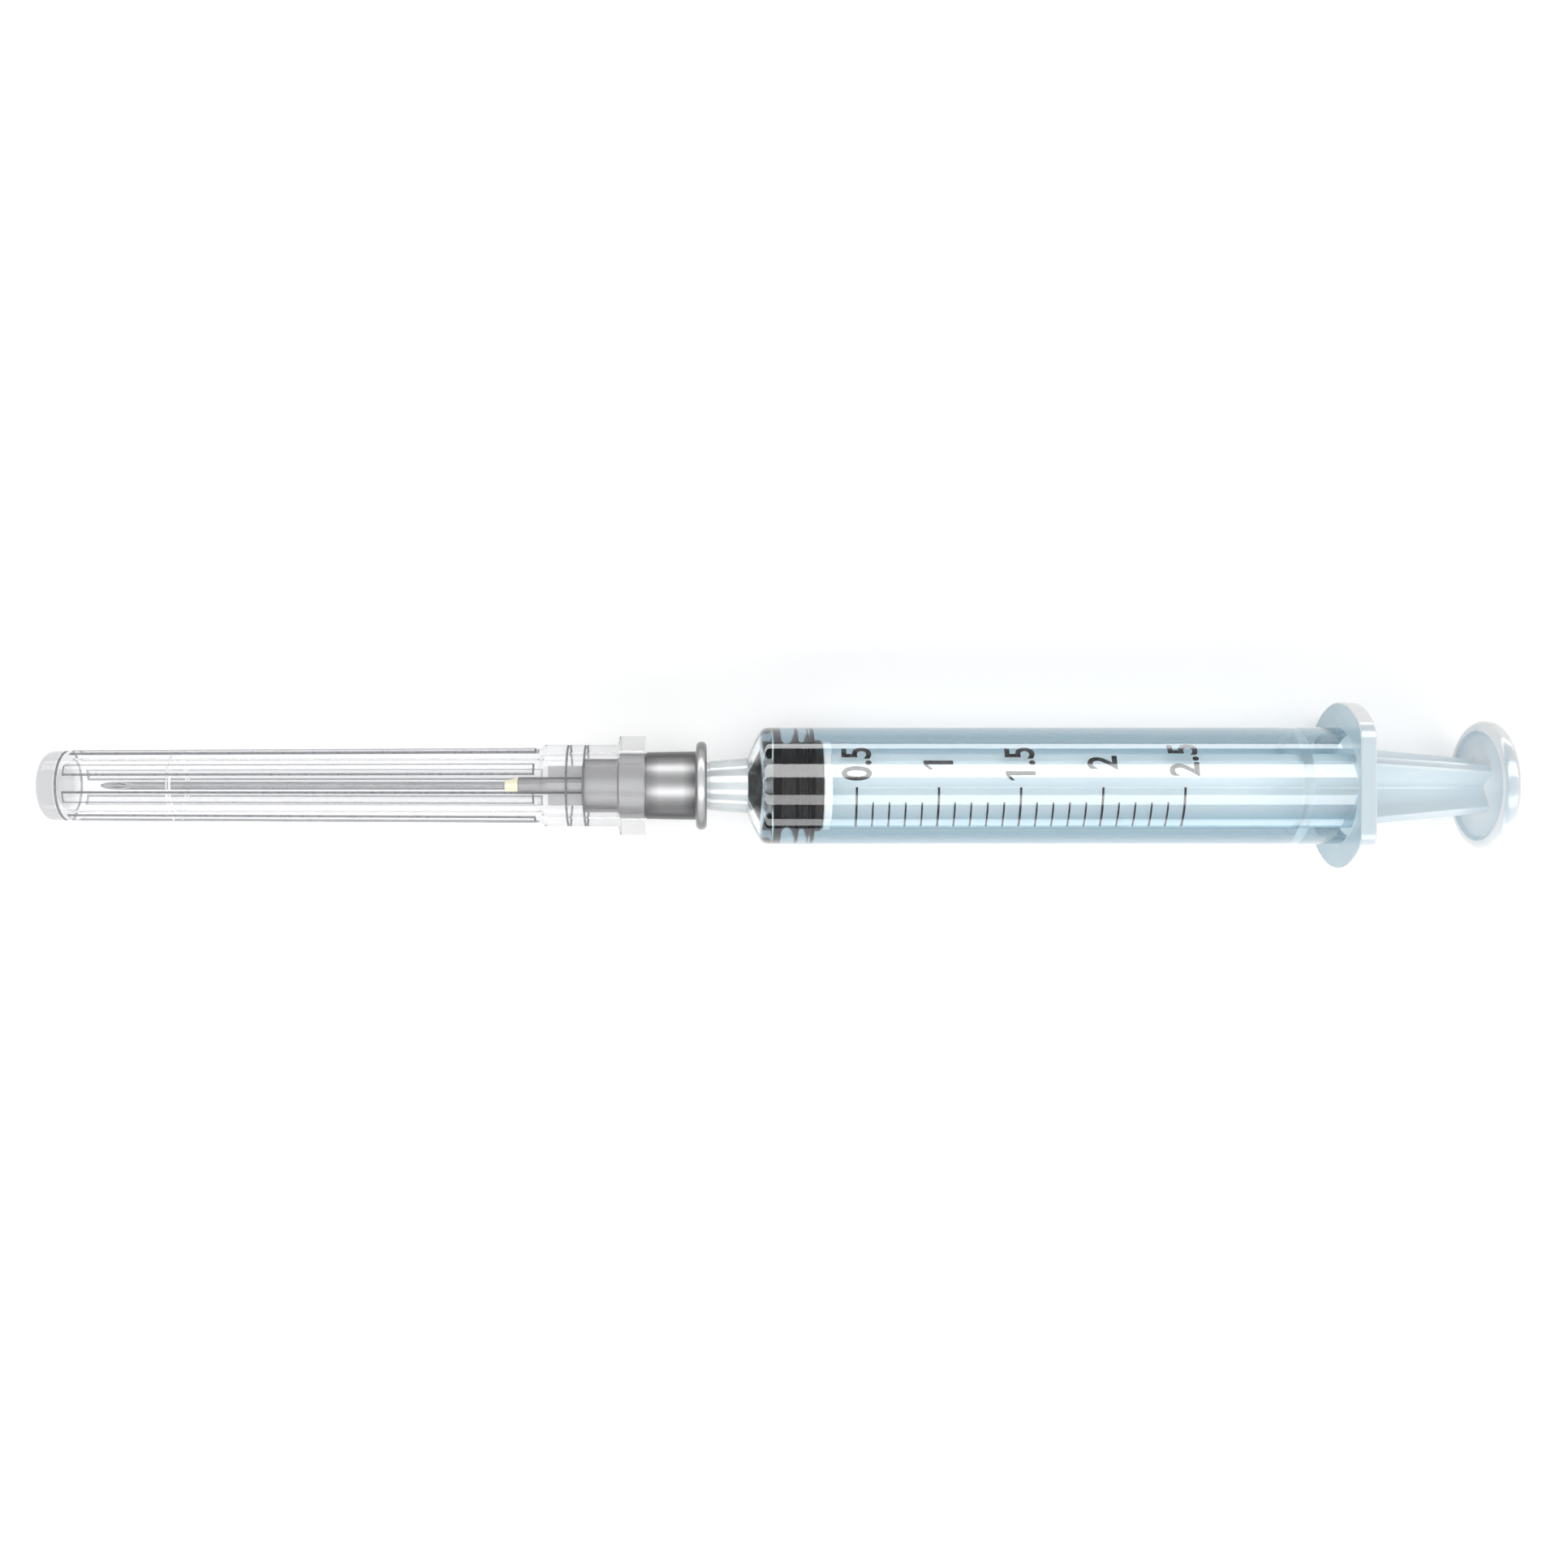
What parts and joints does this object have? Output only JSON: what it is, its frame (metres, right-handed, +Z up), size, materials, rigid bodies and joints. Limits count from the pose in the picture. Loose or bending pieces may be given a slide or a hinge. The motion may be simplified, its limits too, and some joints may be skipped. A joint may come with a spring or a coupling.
{
  "type": "syringe with capped needle",
  "caption": "Slip-tip syringe of 2.5 ml with a rubber stopper, a sliding plunger and a needle under its protective cap.",
  "frame": {"origin": "halfway along the whole length, under the long axis, on the surface that the syringe lies on", "axes": "+X along the syringe from the needle cap towards the thumb rest, +Y across it along the finger flange, +Z up"},
  "size_m": [0.131, 0.015, 0.0117],
  "materials": {
    "barrel": "clear, faint blue tint",
    "ink": "printed ink",
    "stopper": "satin",
    "plunger_rod": "smooth, pale blue",
    "needle_hub": "smoky grey",
    "cannula": "polished",
    "resin": "set resin",
    "needle_cap": "clear"
  },
  "bodies": {
    "barrel": {"barrel": "barrel", "graduation_marks": "ink"},
    "stopper": {"stopper": "stopper"},
    "plunger_rod": {"plunger_rod": "plunger_rod"},
    "needle": {"needle_hub": "needle_hub", "cannula": "cannula", "resin": "resin"},
    "needle_cap": {"needle_cap": "needle_cap"}
  },
  "joints": [
    {"name": "plunger_slide", "type": "slide", "parent": "barrel", "child": "stopper", "axis": [1, 0, 0], "range_m": [0, 0.0425]},
    {"name": "plunger_turn", "type": "hinge", "parent": "stopper", "child": "plunger_rod", "pos_m": [-0.00197, 0, 0.00585], "axis": [1, 0, 0], "continuous": true},
    {"name": "needle_pull", "type": "slide", "parent": "barrel", "child": "needle", "axis": [-1, 0, 0], "range_m": [0, 0.012]},
    {"name": "cap_pull", "type": "slide", "parent": "needle", "child": "needle_cap", "axis": [-1, 0, 0], "range_m": [0, 0.052]}
  ]
}
